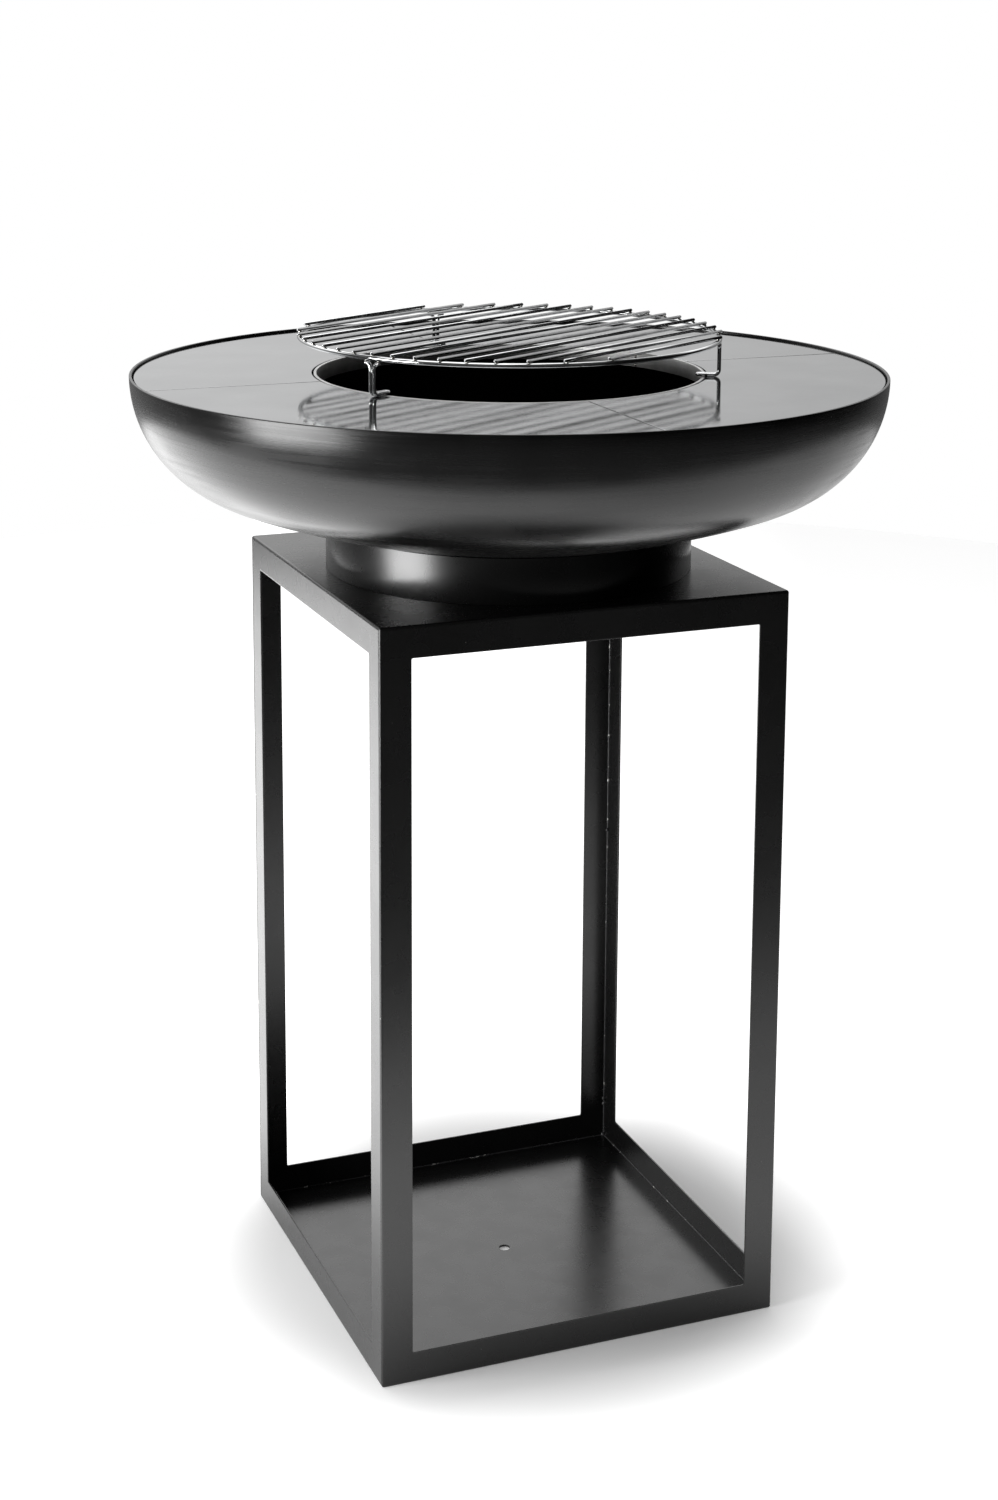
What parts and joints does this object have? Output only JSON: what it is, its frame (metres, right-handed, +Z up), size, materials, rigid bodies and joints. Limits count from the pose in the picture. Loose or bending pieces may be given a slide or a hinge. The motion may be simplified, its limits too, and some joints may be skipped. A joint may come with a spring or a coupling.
{
  "type": "fire pit",
  "caption": "Round steel fire bowl with griddle plates round the fire opening and a lift-off wire grate, standing on an open square pedestal.",
  "frame": {"origin": "centre of the pedestal's underside, on the ground", "axes": "+Z up; +X and +Y square to the pedestal's sides, with the side frame called front facing -Y and the one called left facing -X"},
  "size_m": [0.8, 0.8, 1.0527],
  "materials": {
    "pedestal_powder_coat": "satin black powder coat on sheet steel",
    "bowl_black_finish": "satin heat-resistant black on spun steel",
    "griddle_steel": "smooth satin stainless steel",
    "fire_ring_steel": "rolled bare steel strip with bright edges",
    "grate_wire": "bright polished wire"
  },
  "bodies": {
    "pedestal": {"side_frame_front": "pedestal_powder_coat", "side_frame_right": "pedestal_powder_coat", "side_frame_rear": "pedestal_powder_coat", "side_frame_left": "pedestal_powder_coat", "top_plate": "pedestal_powder_coat", "floor_plate": "pedestal_powder_coat", "collar_ring": "pedestal_powder_coat"},
    "bowl": {"fire_bowl": "bowl_black_finish", "arm_lug_1": "bowl_black_finish", "arm_lug_2": "bowl_black_finish", "arm_lug_3": "bowl_black_finish", "arm_lug_4": "bowl_black_finish", "plate_lug_1": "bowl_black_finish", "plate_lug_2": "bowl_black_finish", "plate_lug_3": "bowl_black_finish", "plate_lug_4": "bowl_black_finish"},
    "plate_support": {"fire_ring": "fire_ring_steel", "support_arm_1": "bowl_black_finish", "support_arm_2": "bowl_black_finish", "support_arm_3": "bowl_black_finish", "support_arm_4": "bowl_black_finish"},
    "plate_1": {"griddle_plate_1": "griddle_steel"},
    "plate_2": {"griddle_plate_2": "griddle_steel"},
    "plate_3": {"griddle_plate_3": "griddle_steel"},
    "plate_4": {"griddle_plate_4": "griddle_steel"},
    "grate": {"grate_ring": "grate_wire", "grate_bar_01": "grate_wire", "grate_bar_02": "grate_wire", "grate_bar_03": "grate_wire", "grate_bar_04": "grate_wire", "grate_bar_05": "grate_wire", "grate_bar_06": "grate_wire", "grate_bar_07": "grate_wire", "grate_bar_08": "grate_wire", "grate_bar_09": "grate_wire", "grate_bar_10": "grate_wire", "grate_bar_11": "grate_wire", "grate_bar_12": "grate_wire", "grate_bar_13": "grate_wire", "grate_bar_14": "grate_wire", "grate_bar_15": "grate_wire", "grate_bar_16": "grate_wire", "grate_bar_17": "grate_wire", "grate_leg_1": "grate_wire", "grate_leg_2": "grate_wire", "grate_leg_3": "grate_wire"}
  },
  "joints": [
    {"name": "bowl_lift", "type": "slide", "parent": "pedestal", "child": "bowl", "axis": [0, 0, 1], "range_m": [0, 0.25]},
    {"name": "support_lift", "type": "slide", "parent": "bowl", "child": "plate_support", "axis": [0, 0, 1], "range_m": [0, 0.12]},
    {"name": "plate_1_lift", "type": "slide", "parent": "plate_support", "child": "plate_1", "axis": [0, 0, 1], "range_m": [0, 0.08]},
    {"name": "plate_2_lift", "type": "slide", "parent": "plate_support", "child": "plate_2", "axis": [0, 0, 1], "range_m": [0, 0.08]},
    {"name": "plate_3_lift", "type": "slide", "parent": "plate_support", "child": "plate_3", "axis": [0, 0, 1], "range_m": [0, 0.08]},
    {"name": "plate_4_lift", "type": "slide", "parent": "plate_support", "child": "plate_4", "axis": [0, 0, 1], "range_m": [0, 0.08]},
    {"name": "grate_lift", "type": "slide", "parent": "plate_1", "child": "grate", "axis": [0, 0, 1], "range_m": [0, 0.2]}
  ],
  "couplings": [
    {"joint": "plate_2_lift", "follows": "plate_1_lift", "ratio": 1},
    {"joint": "plate_3_lift", "follows": "plate_1_lift", "ratio": 1},
    {"joint": "plate_4_lift", "follows": "plate_1_lift", "ratio": 1}
  ]
}
